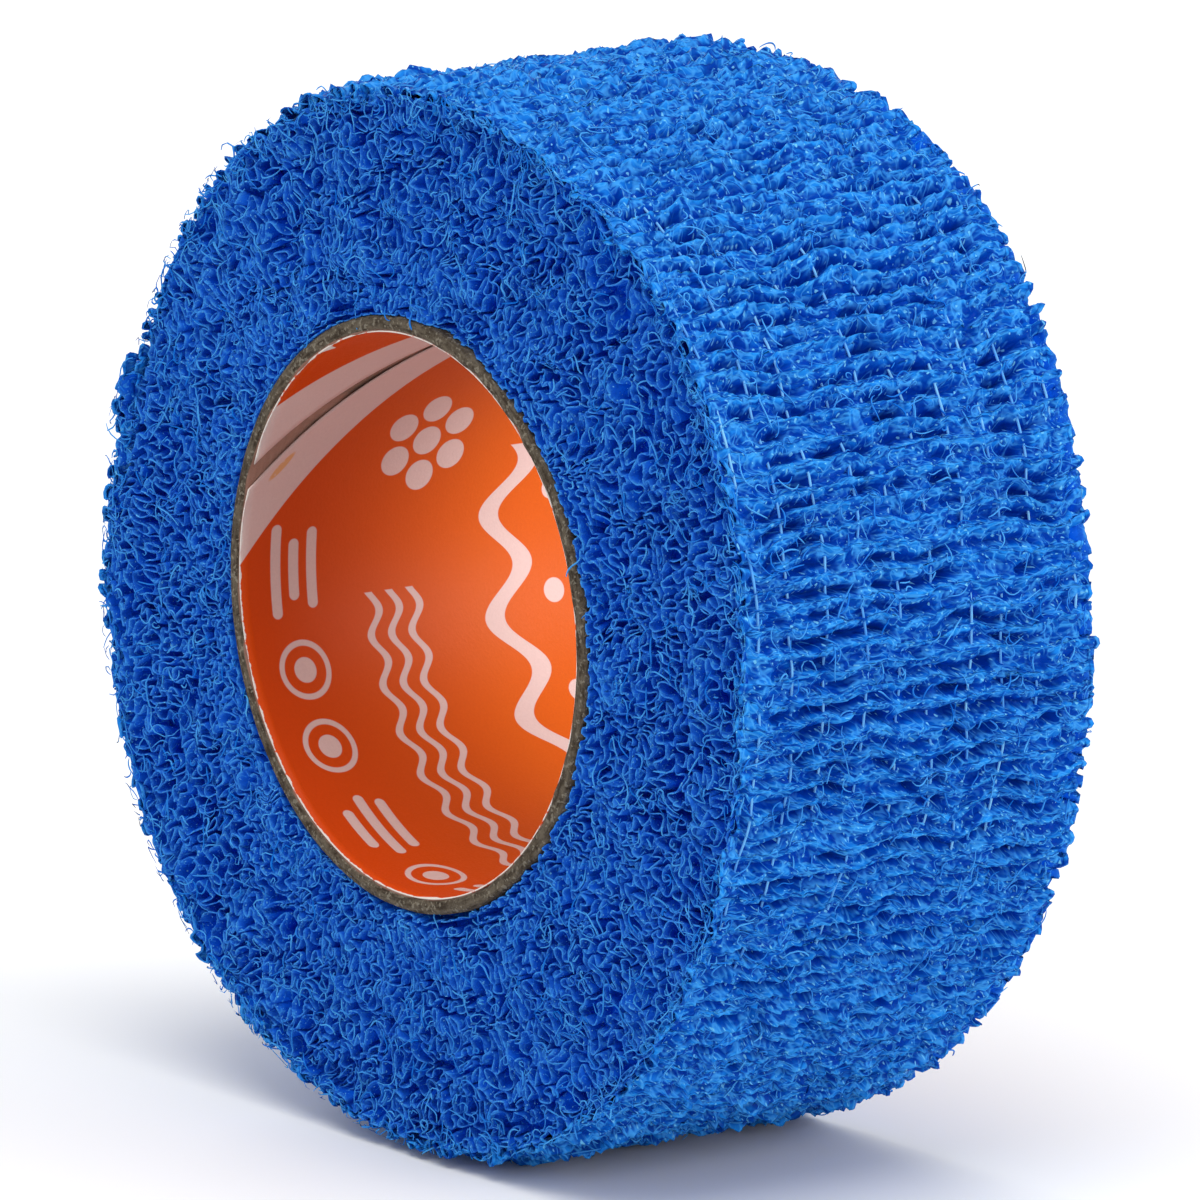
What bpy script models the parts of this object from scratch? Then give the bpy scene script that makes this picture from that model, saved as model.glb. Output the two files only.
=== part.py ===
"""A roll of crinkled self-gripping bandage on a cardboard core, standing on its rim.

Metres, +Z up. The roll's axis runs along Y and the end face with the winding
step stands towards -Y. The origin is the middle of the underside.
"""

import math

import bmesh
import bpy
from mathutils import Vector, noise

MM = 0.001

# The wound bandage.
WIDTH = 24.9 * MM
OUTER_RADIUS = 31.5 * MM
BACK_FLARE = 1.012
STEP_ANGLE = math.radians(153.0)
STEP_RISE = 1.0 * MM
FLAP_RISE = 0.7 * MM
FLAP_LENGTH = math.radians(13.0)
# Cosine and sine shares of the outline's waves, two to five round the roll.
OUTLINE_WAVES = ((-0.006, 0.014), (0.002, 0.001), (-0.006, 0.009), (-0.002, -0.003))
# The roll is wound a little off centre on its core.
OFF_CENTRE = (0.9 * MM, -0.24 * MM)
FLAT_DEPTH = 0.32 * MM
FLAT_HALF_ANGLE = math.radians(8.4)

# Gathered ribs that run across the rim.
RIBS = 122
COLUMNS_PER_RIB = 3
RIB_ROWS = 6
RIB_DEPTH = 0.75 * MM
RIB_SWAY = 0.42 * MM
TOOTH = 0.55 * MM

# The end faces: share of the way out from the core, and depth behind the lip.
FACE_COLUMNS = 122
FACE_RINGS = (
    (0.0, 0.20),
    (0.09, 0.35),
    (0.20, 0.22),
    (0.32, 0.38),
    (0.45, 0.24),
    (0.58, 0.40),
    (0.71, 0.28),
    (0.83, 0.50),
    (0.925, 0.85),
)
FACE_UNEVEN = 0.42 * MM

# The cardboard core and its printed paper lining.
GAP = 0.3 * MM
CORE_OUTER_RADIUS = 17.5 * MM
CORE_WALL = 0.62 * MM
CORE_LENGTH = 25.0 * MM
CORE_SIDES = 96
LINING_GAP = 0.25 * MM
LINING_WALL = 0.2 * MM
LINING_LENGTH = 24.6 * MM
LINING_COLUMNS = 56
LINING_ROWS = 10
SEAM_FRONT_ANGLE = math.radians(159.0)
SEAM_TURN = math.radians(-102.0)
SEAM_WIDE = math.radians(8.5)
SEAM_NARROW = math.radians(3.0)

BORE_RADIUS = CORE_OUTER_RADIUS + GAP


def clear_scene():
    for old in list(bpy.data.objects):
        bpy.data.objects.remove(old, do_unlink=True)


def material(name, colour, roughness, metallic=0.0):
    made = bpy.data.materials.new(name)
    made.use_nodes = True
    shader = made.node_tree.nodes["Principled BSDF"]
    shader.inputs["Base Color"].default_value = (*colour, 1.0)
    shader.inputs["Roughness"].default_value = roughness
    shader.inputs["Metallic"].default_value = metallic
    return made


def mix(a, b, share):
    return a + (b - a) * share


def ramp(value, low, high):
    share = min(1.0, max(0.0, (value - low) / (high - low)))
    return share * share * (3.0 - 2.0 * share)


def turned_line(bm, points, steps, closed=False):
    """Turns a line of (radius, y) points once round the Y axis."""
    line = [bm.verts.new((radius, y, 0.0)) for radius, y in points]
    pairs = list(zip(line, line[1:]))
    if closed:
        pairs.append((line[-1], line[0]))
    edges = [bm.edges.new(pair) for pair in pairs]
    bmesh.ops.spin(
        bm,
        geom=line + edges,
        cent=(0.0, 0.0, 0.0),
        axis=(0.0, -1.0, 0.0),
        angle=math.tau,
        steps=steps,
        use_merge=True,
    )


def ring_edges(bm, radius, y):
    """The open edges that lie on one circle about the Y axis."""
    found = []
    for edge in bm.edges:
        if not edge.is_boundary:
            continue
        if all(
            abs(math.hypot(v.co.x, v.co.z) - radius) < 1e-6 and abs(v.co.y - y) < 1e-6
            for v in edge.verts
        ):
            found.append(edge)
    return found


def outline(angle, y):
    """Radius of the rib tops, out of round and growing by one turn to the loose end."""
    waves = 1.0
    for number, (cosine, sine) in enumerate(OUTLINE_WAVES, start=2):
        waves += cosine * math.cos(number * angle) + sine * math.sin(number * angle)
    past = (angle - STEP_ANGLE) % math.tau
    rise = STEP_RISE * (0.5 - past / math.tau)
    if past < FLAP_LENGTH:
        rise += FLAP_RISE * (1.0 - past / FLAP_LENGTH) ** 2
    flare = mix(1.0, BACK_FLARE, y / WIDTH + 0.5)
    return OUTER_RADIUS * waves * flare + rise


def rim_point(angle, y):
    """A point of the gathered rim, from its place on a plain drum."""
    columns = RIBS * COLUMNS_PER_RIB
    column = round(angle / math.tau * columns) % columns
    rib, place = divmod(column, COLUMNS_PER_RIB)
    ring = Vector((math.cos(angle), math.sin(angle), 0.0))
    across = y / MM
    seed = Vector((rib * 1.37, across * 0.16, 4.1))
    depth = RIB_DEPTH * (0.8 + 0.7 * noise.noise(seed))
    if place == 0:
        # Some furrows close up part of the way across.
        closed = noise.noise(Vector((rib * 2.9, across * 0.11, 9.7)))
        drop = depth * (0.25 if closed > 0.42 else 1.0)
    elif place == 1:
        drop = 0.16 * MM * (1.0 + noise.noise(seed + Vector((7.0, 2.0, 1.0))))
    else:
        drop = 0.05 * MM * (1.0 + noise.noise(seed + Vector((3.0, 8.0, 2.0))))
    flow = noise.noise(ring * 9.0 + Vector((0.0, 0.0, across * 0.22)))
    own = noise.noise(Vector((rib * 0.9, across * 0.3, 2.0)))
    sway = RIB_SWAY * (flow + 0.35 * own) * 1.6
    radius = outline(angle, y) - drop
    turned = angle + sway / OUTER_RADIUS
    edge = abs(y) / (WIDTH / 2.0)
    if edge > 0.99:
        tooth = TOOTH * (0.5 + 0.9 * noise.noise(Vector((rib * 3.3, y * 90.0, 1.0))))
        tooth += 0.25 * MM if place == 0 else 0.0
        y -= math.copysign(max(0.0, tooth), y)
        radius -= 0.12 * MM
    return radius, turned, y


def face_point(angle, radius, y):
    """A point of an end face or of the bore, from its place on the plain profile."""
    share = (radius - BORE_RADIUS) / (OUTER_RADIUS - BORE_RADIUS)
    side = math.copysign(1.0, y)
    reach = outline(angle, y) - BORE_RADIUS
    # The bore stays round on the core; the outline is set off it.
    off = OFF_CENTRE[0] * math.cos(angle) + OFF_CENTRE[1] * math.sin(angle)
    new_radius = BORE_RADIUS + share * (reach + off)
    if share > 0.02:
        spot = Vector(
            (
                radius / MM * math.cos(angle) * 0.47,
                radius / MM * math.sin(angle) * 0.47,
                side * 6.0,
            )
        )
        y += side * FACE_UNEVEN * noise.noise(spot) * 1.8
        new_radius += 0.3 * MM * noise.noise(spot + Vector((11.0, 5.0, 3.0)))
    return new_radius, angle, y


def bandage_mesh():
    bm = bmesh.new()
    half = WIDTH / 2.0
    rim = [(OUTER_RADIUS, mix(-half, half, row / RIB_ROWS)) for row in range(RIB_ROWS + 1)]
    turned_line(bm, rim, RIBS * COLUMNS_PER_RIB)
    front = [
        (mix(BORE_RADIUS, OUTER_RADIUS, share), -half + depth * MM)
        for share, depth in reversed(FACE_RINGS)
    ]
    back = [(radius, -y) for radius, y in reversed(front)]
    turned_line(bm, front + back, FACE_COLUMNS)
    for side in (-1.0, 1.0):
        rim_loop = ring_edges(bm, OUTER_RADIUS, side * half)
        radius, y = front[0]
        face_loop = ring_edges(bm, radius, -side * y)
        bmesh.ops.bridge_loops(bm, edges=rim_loop + face_loop)
    rim_verts = []
    for vert in bm.verts:
        radius = math.hypot(vert.co.x, vert.co.z)
        angle = math.atan2(vert.co.z, vert.co.x) % math.tau
        if radius > OUTER_RADIUS - 1e-6:
            rim_verts.append(vert)
            radius, angle, y = rim_point(angle, vert.co.y)
            shift = OFF_CENTRE
        else:
            radius, angle, y = face_point(angle, radius, vert.co.y)
            shift = (0.0, 0.0)
        vert.co = (
            radius * math.cos(angle) + shift[0],
            y,
            radius * math.sin(angle) + shift[1],
        )
    flatten_underside(bm, rim_verts)
    bmesh.ops.recalc_face_normals(bm, faces=bm.faces)
    return bm


def flatten_underside(bm, rim_verts):
    """Presses the lowest ribs into one small flat spot."""
    plane = min(vert.co.z for vert in bm.verts) + FLAT_DEPTH
    for vert in rim_verts:
        x = vert.co.x - OFF_CENTRE[0]
        z = vert.co.z - OFF_CENTRE[1]
        if abs(math.atan2(x, -z)) < FLAT_HALF_ANGLE:
            vert.co.z = plane
    for vert in bm.verts:
        vert.co.z = max(vert.co.z, plane)


def core_mesh():
    bm = bmesh.new()
    half = CORE_LENGTH / 2.0
    inner = CORE_OUTER_RADIUS - CORE_WALL
    wall = [
        (CORE_OUTER_RADIUS, -half),
        (CORE_OUTER_RADIUS, half),
        (inner, half),
        (inner, -half),
    ]
    turned_line(bm, wall, CORE_SIDES, closed=True)
    bmesh.ops.recalc_face_normals(bm, faces=bm.faces)
    return bm


def lining_mesh():
    """A thin paper tube whose two edges leave a slit that winds along the bore."""
    bm = bmesh.new()
    outer = CORE_OUTER_RADIUS - CORE_WALL - LINING_GAP
    inner = outer - LINING_WALL
    bmesh.ops.create_grid(
        bm, x_segments=LINING_COLUMNS, y_segments=LINING_ROWS, size=0.5
    )
    for vert in bm.verts:
        along = vert.co.y + 0.5
        round_share = vert.co.x + 0.5
        slit = mix(SEAM_WIDE, SEAM_NARROW, ramp(along, 0.0, 0.45))
        start = SEAM_FRONT_ANGLE + SEAM_TURN * along + slit / 2.0
        angle = start + (math.tau - slit) * round_share
        vert.co = (
            inner * math.cos(angle),
            mix(-0.5, 0.5, along) * LINING_LENGTH,
            inner * math.sin(angle),
        )
    inside = list(bm.faces)
    bmesh.ops.recalc_face_normals(bm, faces=inside)
    skin = bmesh.ops.extrude_face_region(bm, geom=inside, use_keep_orig=True)
    for vert in skin["geom"]:
        if isinstance(vert, bmesh.types.BMVert):
            vert.co.x *= outer / inner
            vert.co.z *= outer / inner
    bmesh.ops.recalc_face_normals(bm, faces=bm.faces)
    return bm


def make_object(name, bm, group, parent, look):
    mesh = bpy.data.meshes.new(name)
    bm.to_mesh(mesh)
    bm.free()
    mesh.materials.append(look)
    mesh.shade_smooth()
    mesh.set_sharp_from_angle(angle=math.radians(40.0))
    made = bpy.data.objects.new(name, mesh)
    made.parent = parent
    group.objects.link(made)
    return made


def main():
    clear_scene()
    group = bpy.data.collections.new("bandage_roll")
    bpy.context.scene.collection.children.link(group)
    axis = bpy.data.objects.new("roll_axis", None)
    group.objects.link(axis)

    cloth = material("blue_bandage", (0.012, 0.11, 0.50), 0.55)
    board = material("grey_cardboard", (0.10, 0.065, 0.042), 0.9)
    print_paper = material("orange_paper", (0.60, 0.10, 0.012), 0.5)

    bandage = make_object("bandage", bandage_mesh(), group, axis, cloth)
    make_object("core_tube", core_mesh(), group, axis, board)
    make_object("liner", lining_mesh(), group, axis, print_paper)

    # Stands the roll on the middle of its underside.
    xs = [vert.co.x for vert in bandage.data.vertices]
    zs = [vert.co.z for vert in bandage.data.vertices]
    axis.location = (-(min(xs) + max(xs)) / 2.0, 0.0, -min(zs))


main()
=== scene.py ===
"""Looks of a roll of crinkled self-gripping bandage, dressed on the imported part.

Sizes are in millimetres in the roll's own frame: the core's axis runs along Y
through (0, 0), the end face with the winding step looks towards -Y.
"""

import math

import bmesh
import bpy
import numpy as np
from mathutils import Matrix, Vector


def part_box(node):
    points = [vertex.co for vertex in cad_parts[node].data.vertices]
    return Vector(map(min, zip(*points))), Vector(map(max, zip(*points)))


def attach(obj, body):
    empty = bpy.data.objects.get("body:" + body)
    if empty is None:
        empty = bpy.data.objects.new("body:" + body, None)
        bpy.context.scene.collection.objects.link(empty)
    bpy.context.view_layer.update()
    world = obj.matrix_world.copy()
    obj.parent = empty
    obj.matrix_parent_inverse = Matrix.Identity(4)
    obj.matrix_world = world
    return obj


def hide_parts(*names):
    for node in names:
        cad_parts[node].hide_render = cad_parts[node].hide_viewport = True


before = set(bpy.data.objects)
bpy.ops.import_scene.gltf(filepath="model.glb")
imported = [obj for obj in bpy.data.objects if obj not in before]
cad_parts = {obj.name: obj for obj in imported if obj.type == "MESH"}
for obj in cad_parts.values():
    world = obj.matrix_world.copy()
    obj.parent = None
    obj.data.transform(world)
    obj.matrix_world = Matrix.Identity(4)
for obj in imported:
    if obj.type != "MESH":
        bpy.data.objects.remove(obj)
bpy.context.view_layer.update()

MM = 0.001
TAU = math.tau

# Where the core's axis stands in the part.
core_low, core_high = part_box("core_tube")
CORE_X = (core_low.x + core_high.x) / 2 / MM
CORE_Z = (core_low.z + core_high.z) / 2 / MM

# The wound form.
WIDTH = 24.9
HALF = WIDTH / 2
OUTER_RADIUS = 31.5
BACK_FLARE = 1.012
STEP_ANGLE = math.radians(159.5)
STEP_RISE = 1.0
FLAP_RISE = 0.7
FLAP_LENGTH = math.radians(13.0)
OUTLINE_WAVES = ((-0.006, 0.014), (0.002, 0.001), (-0.006, 0.009), (-0.002, -0.003))
OFF_CENTRE = (0.9, -0.24)
# Local swellings of the outline: which end, the y they start from on that side,
# where round the roll in degrees, size, and how narrow they are.
OUTLINE_SWELLS = (
    (1, -HALF, 54.0, 0.78, 10),
    (1, -HALF, 338.0, 0.50, 6),
    (-1, HALF - 4.0, 264.0, -0.60, 5),
    (-1, HALF - 4.0, 112.0, -0.45, 12),
)

# The turns between the core and the outer wrap.
CORE_RADIUS = 17.5
CORE_BORE = 16.6
TURNS = 18.0
OUTER_PITCH = 0.97
CRIMP_LENGTH = 1.40
CRIMP_AT_CORE = 0.82
CRIMP_SAMPLES = 40
WALL = 0.075
WALL_DEPTH = 1.5
FIRST_TURN = 0.004
MIDDLE_TURN = 7.5
FRONT_STEP = 0.13
BACK_STEP = 0.30
FRONT_SEED = 11
BACK_SEED = 47
# How far below the wrap the crimps stay, how much nearer the tucked ones come,
# and how much lower the foot of each wall stays than its edge.
CRIMP_CLEARANCE = 0.40
TUCK_LIFT = 0.14
WALL_LEAN = 0.80
TUCK_FADE = 0.05

# The outer wrap: gathered ribs over elastic threads.
RIBS = 150
RIB_STEPS = 11
TUCK_RIBS = 6
WRAP_ROWS = 92
THREADS = 10
THREAD_PITCH = 2.5
WRAP_LENGTH = TAU * OUTER_RADIUS
# The deepest that the web sinks, away from its edges and near them.
FREE_SINK = 3.0
EDGE_SINK = 0.85

# The printed lining, wound spirally with its edges a little apart.
SEAM_FRONT_ANGLE = math.radians(159.0)
SEAM_TURN = math.radians(-102.0)
SEAM_WIDE = math.radians(6.4)
SEAM_NARROW = math.radians(2.2)
LINING_RADIUS = CORE_BORE - 0.03
LINING_FRONT = -12.46
LINING_LENGTH = 24.9


# --- numbers -----------------------------------------------------------------


def lattice(ix, iy, iz, seed):
    """A repeatable random value from -1 to 1 at each whole-number point."""
    key = (
        ix.astype(np.int64) * 73856093
        ^ iy.astype(np.int64) * 19349663
        ^ iz.astype(np.int64) * 83492791
        ^ (seed * 2654435761)
    )
    key = (key ^ (key >> 13)) * 1274126177
    key = (key ^ (key >> 16)) & 0xFFFFFF
    return key / float(0x7FFFFF) - 1.0


def noise(x, y, z, seed=0):
    """Smooth noise from -1 to 1 with one wave or so to a unit."""
    x, y, z = np.broadcast_arrays(*(np.asarray(v, float) for v in (x, y, z)))
    fx, fy, fz = np.floor(x), np.floor(y), np.floor(z)
    tx, ty, tz = ((v - f) for v, f in ((x, fx), (y, fy), (z, fz)))
    sx, sy, sz = (t * t * (3 - 2 * t) for t in (tx, ty, tz))
    total = 0.0
    for dx in (0, 1):
        for dy in (0, 1):
            for dz in (0, 1):
                weight = (
                    (sx if dx else 1 - sx)
                    * (sy if dy else 1 - sy)
                    * (sz if dz else 1 - sz)
                )
                total = total + weight * lattice(fx + dx, fy + dy, fz + dz, seed)
    return total


def ramp(value, low, high):
    share = np.clip((value - low) / (high - low), 0.0, 1.0)
    return share * share * (3 - 2 * share)


def hump(value, width):
    """1 at zero, falling to nothing a few widths away."""
    return np.exp(-((value / width) ** 2))


def outline(angle, y):
    """Radius of the rib tops about the outline's own centre."""
    waves = 1.0
    for number, (cosine, sine) in enumerate(OUTLINE_WAVES, start=2):
        waves = waves + cosine * np.cos(number * angle) + sine * np.sin(number * angle)
    flare = 1 + (BACK_FLARE - 1) * (y / WIDTH + 0.5)
    radius = OUTER_RADIUS * waves * flare + STEP_RISE / 2
    for side, start, degrees, size, power in OUTLINE_SWELLS:
        near = np.clip(np.cos(angle - math.radians(degrees)), 0, 1) ** power
        radius = radius + size * near * ramp(side * y, start, HALF)
    return radius


BUILD = OUTER_RADIUS - CORE_RADIUS + STEP_RISE / 2
SLACK = (OUTER_PITCH * TURNS - BUILD) / TURNS**2


def wound_share(turn):
    """Share of the way from the core to the outline after so many turns inwards."""
    return 1 - (OUTER_PITCH * turn - SLACK * turn**2) / BUILD


def wound_pitch(turn):
    return OUTER_PITCH - 2 * SLACK * turn


def flap_rise(turn):
    """How far the loose end stands off the turn below."""
    return FLAP_RISE * np.clip(1 - turn * TAU / FLAP_LENGTH, 0, 1) ** 2


def wound_point(turn, y, out=0.0, along=0.0):
    """A point of the winding, moved outwards and along the strip by millimetres."""
    angle = STEP_ANGLE + turn * TAU
    share = wound_share(turn)
    radius = CORE_RADIUS + share * (outline(angle, y) - CORE_RADIUS) + out + flap_rise(turn)
    angle = angle + along / radius
    x = radius * np.cos(angle) + share * OFF_CENTRE[0]
    z = radius * np.sin(angle) + share * OFF_CENTRE[1]
    # The lowest ribs are pressed into the flat spot the roll stands on.
    return x, np.maximum(z, -CORE_Z)


# --- mesh helpers ------------------------------------------------------------


def grid_mesh(name, columns, rows, place, weld=False, drop_every=0):
    """A grid of columns x rows faces whose points place(i, j) puts, in millimetres.

    place also returns a dict of point attributes. With drop_every, each column
    with that number is left out, which parts the grid into many small strips.
    """
    bm = bmesh.new()
    bmesh.ops.create_grid(bm, x_segments=columns, y_segments=rows, size=0.5)
    if drop_every:
        gone = [
            face
            for face in bm.faces
            if int((face.calc_center_median().x + 0.5) * columns) % drop_every
            == drop_every - 1
        ]
        bmesh.ops.delete(bm, geom=gone, context="FACES")
    mesh = bpy.data.meshes.new(name)
    bm.to_mesh(mesh)
    bm.free()
    flat = np.empty(len(mesh.vertices) * 3, np.float32)
    mesh.vertices.foreach_get("co", flat)
    flat = flat.reshape(-1, 3)
    i = np.rint((flat[:, 0] + 0.5) * columns)
    j = np.rint((flat[:, 1] + 0.5) * rows)
    (x, y, z), facts = place(i, j)
    points = np.stack([x + CORE_X, y, z + CORE_Z], 1) * MM
    mesh.vertices.foreach_set("co", points.astype(np.float32).ravel())
    for fact, values in facts.items():
        layer = mesh.attributes.new(fact, "FLOAT", "POINT")
        layer.data.foreach_set("value", np.asarray(values, np.float32))
    if weld:
        bm = bmesh.new()
        bm.from_mesh(mesh)
        bmesh.ops.remove_doubles(bm, verts=bm.verts, dist=0.002 * MM)
        bmesh.ops.recalc_face_normals(bm, faces=bm.faces)
        bm.to_mesh(mesh)
        bm.free()
    mesh.update()
    mesh.shade_smooth()
    return mesh


def pick(values, index):
    """The value of a short list for each whole number in an array."""
    return np.take(values, index.astype(int))


def make_piece(name, mesh, look):
    piece = bpy.data.objects.new(name, mesh)
    bpy.context.scene.collection.objects.link(piece)
    mesh.materials.append(look)
    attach(piece, "root")
    return piece


def thicken(piece, wall):
    solid = piece.modifiers.new("thickness", "SOLIDIFY")
    solid.thickness = wall * MM
    solid.offset = 0.0
    return piece


# --- shader helpers ----------------------------------------------------------


class Value:
    """A shader socket that takes part in sums."""

    def __init__(self, tree, socket):
        self.tree = tree
        self.socket = socket

    def combine(self, operation, *others):
        node = self.tree.nodes.new("ShaderNodeMath")
        node.operation = operation
        for place, other in enumerate((self, *others)):
            if isinstance(other, Value):
                self.tree.links.new(other.socket, node.inputs[place])
            else:
                node.inputs[place].default_value = other
        return Value(self.tree, node.outputs[0])

    def __add__(self, other):
        return self.combine("ADD", other)

    def __radd__(self, other):
        return self.combine("ADD", other)

    def __sub__(self, other):
        return self.combine("SUBTRACT", other)

    def __rsub__(self, other):
        return self.combine("MULTIPLY", -1.0).combine("ADD", other)

    def __mul__(self, other):
        return self.combine("MULTIPLY", other)

    def __rmul__(self, other):
        return self.combine("MULTIPLY", other)

    def __truediv__(self, other):
        return self.combine("DIVIDE", other)

    def __pow__(self, other):
        return self.combine("POWER", other)

    def __neg__(self):
        return self.combine("MULTIPLY", -1.0)

    def least(self, other):
        return self.combine("MINIMUM", other)

    def most(self, other):
        return self.combine("MAXIMUM", other)

    def size(self):
        return self.combine("ABSOLUTE")

    def below(self, edge, soft):
        """1 well below edge, 0 well above it, with a soft step."""
        return ((edge - self) / soft + 0.5).most(0.0).least(1.0)

    def above(self, edge, soft):
        return ((self - edge) / soft + 0.5).most(0.0).least(1.0)


class Look:
    """A material under construction. Places in it are in millimetres."""

    def __init__(self, name, roughness, specular=0.5):
        self.material = bpy.data.materials.new(name)
        self.material.use_nodes = True
        self.tree = self.material.node_tree
        self.shader = self.tree.nodes["Principled BSDF"]
        self.shader.inputs["Roughness"].default_value = roughness
        self.shader.inputs["Specular IOR Level"].default_value = specular
        corner = self.out(self.node("ShaderNodeTexCoord"), "Object")
        scaled = self.node(
            "ShaderNodeVectorMath", {"operation": "SCALE"}, {0: corner, "Scale": 1 / MM}
        )
        self.where = self.out(scaled, "Vector")
        self.apart = self.node("ShaderNodeSeparateXYZ", None, {"Vector": self.where})

    def node(self, kind, settings=None, inputs=None):
        made = self.tree.nodes.new(kind)
        for key, value in (settings or {}).items():
            setattr(made, key, value)
        for key, value in (inputs or {}).items():
            socket = made.inputs[key]
            if isinstance(value, Value):
                self.tree.links.new(value.socket, socket)
            else:
                socket.default_value = value
        return made

    def out(self, node, name):
        return Value(self.tree, node.outputs[name])

    def axis(self, name):
        return self.out(self.apart, name)

    def fact(self, name):
        node = self.node("ShaderNodeAttribute", {"attribute_name": name})
        return self.out(node, "Fac")

    def laid_out(self, around, across):
        """Places on a surface that goes round the core, laid out flat."""
        inputs = {"X": around, "Y": across, "Z": 0.0}
        return self.out(self.node("ShaderNodeCombineXYZ", None, inputs), "Vector")

    def turned(self):
        """Distance from the core's axis, and angle round it from 0 to a full turn."""
        across = self.axis("X") - CORE_X
        up = self.axis("Z") - CORE_Z
        radius = (across * across + up * up) ** 0.5
        return radius, (-up).combine("ARCTAN2", -across) + math.pi

    def grain(self, scale, detail=2.0, rough=0.5, stretch=None, where=None):
        """Noise of about scale waves to a millimetre, from 0 to 1."""
        where = where or self.where
        if stretch:
            moved = self.node(
                "ShaderNodeVectorMath", {"operation": "MULTIPLY"}, {0: where, 1: stretch}
            )
            where = self.out(moved, "Vector")
        inputs = {"Vector": where, "Scale": scale, "Detail": detail, "Roughness": rough}
        return self.out(self.node("ShaderNodeTexNoise", None, inputs), "Fac")

    def hairs(self, scale, width, stretch=None, where=None):
        """Thin curled lines, like fibres lying in the web."""
        wander = self.grain(scale, 0.0, 0.4, stretch, where)
        return (wander - 0.5).size().below(width, width)

    def blend(self, share, first, second):
        node = self.node("ShaderNodeMix", {"data_type": "RGBA"})
        for place, value in ((0, share), (6, first), (7, second)):
            if isinstance(value, Value):
                self.tree.links.new(value.socket, node.inputs[place])
            elif place:
                node.inputs[place].default_value = (*value, 1.0)
            else:
                node.inputs[place].default_value = value
        return Value(self.tree, node.outputs[2])

    def bump(self, height, distance, strength=1.0):
        inputs = {"Height": height, "Distance": distance * MM, "Strength": strength}
        node = self.node("ShaderNodeBump", None, inputs)
        self.tree.links.new(node.outputs["Normal"], self.shader.inputs["Normal"])

    def colour(self, value):
        self.tree.links.new(value.socket, self.shader.inputs["Base Color"])

    def rough(self, value):
        self.tree.links.new(value.socket, self.shader.inputs["Roughness"])


# --- the blue web ------------------------------------------------------------

# In both sets of blues, "edge" is a painted highlight for thin edges and crests, and "shade" is a
# darker tone that varies at random and also serves as painted shade. The face's "pit" is a
# brighter blue painted deep in the pits, as painted light for light through the thin film; the
# rim's "pit" is painted shade in its gaps.
FACE_BLUES = {
    "pit": (0.0, 0.092, 0.75),
    "web": (0.0003, 0.078, 0.63),
    "shade": (0.0, 0.050, 0.49),
    "edge": (0.052, 0.288, 0.82),
}
RIM_BLUES = {
    "pit": (0.0, 0.044, 0.40),
    "web": (0.0, 0.090, 0.52),
    "shade": (0.0, 0.038, 0.36),
    "edge": (0.014, 0.250, 0.79),
}
VIOLET_BLUE = (0.010, 0.066, 0.50)
# The light blue below colours the fibres and also the painted highlight lines on the rim's
# crinkled film.
HAIR_AND_HIGHLIGHT_BLUE = (0.060, 0.370, 0.88)
FIBRE_BLUES = ((0.008, 0.180, 0.72), (0.090, 0.440, 0.92))
GLINT_BLUE = (0.22, 0.70, 1.0)
THREAD_BLUES = ((0.030, 0.260, 0.80), (0.240, 0.600, 0.92))


def face_look(name):
    """The strip's edges seen end on: deep blue walls and pits, with painted light and shade:
    painted highlights on the thin edges, a brighter blue painted deep in the pits, painted shade
    in the crumples and painted glints.
    """
    look = Look(name, 0.5, specular=0.0)
    depth_shade = look.fact("depth_shade")
    mottle = look.grain(0.7, 2.0, 0.6)
    crumple = look.grain(2.4, 2.0, 0.65)
    tone = look.blend(mottle.below(0.46, 0.20), FACE_BLUES["web"], FACE_BLUES["shade"])
    # Painted shade: darker where the crumples' bump is low.
    tone = look.blend(crumple.below(0.44, 0.12) * 0.6, tone, FACE_BLUES["shade"])
    # Painted highlight: the walls' thin edges are painted light, broken up where the crumples'
    # bump is low, with a softer painted light a little way down the walls.
    highlight_breaks = crumple.above(0.46, 0.20) * 0.85 + 0.15
    near = (1 - depth_shade) ** 3.0 * mottle.above(0.42, 0.24) * 0.30
    lit = look.blend(near.most((1 - depth_shade) ** 10.0 * highlight_breaks), tone, FACE_BLUES["edge"])
    # Painted light: deep in the pits the colour turns a brighter blue, for light through the thin
    # film.
    deep = look.blend((depth_shade - 0.42).most(0.0) * 1.7, lit, FACE_BLUES["pit"])
    fibres = look.hairs(1.3, 0.022) * crumple.above(0.48, 0.10)
    haired = look.blend(fibres * 0.5, deep, HAIR_AND_HIGHLIGHT_BLUE)
    glints = look.grain(6.5, 0.0).above(0.77, 0.06)
    look.colour(look.blend(glints * 0.6, haired, GLINT_BLUE))
    look.rough(mottle * 0.5 + 0.15)
    look.bump(crumple, 0.18, 0.9)
    return look.material


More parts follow.
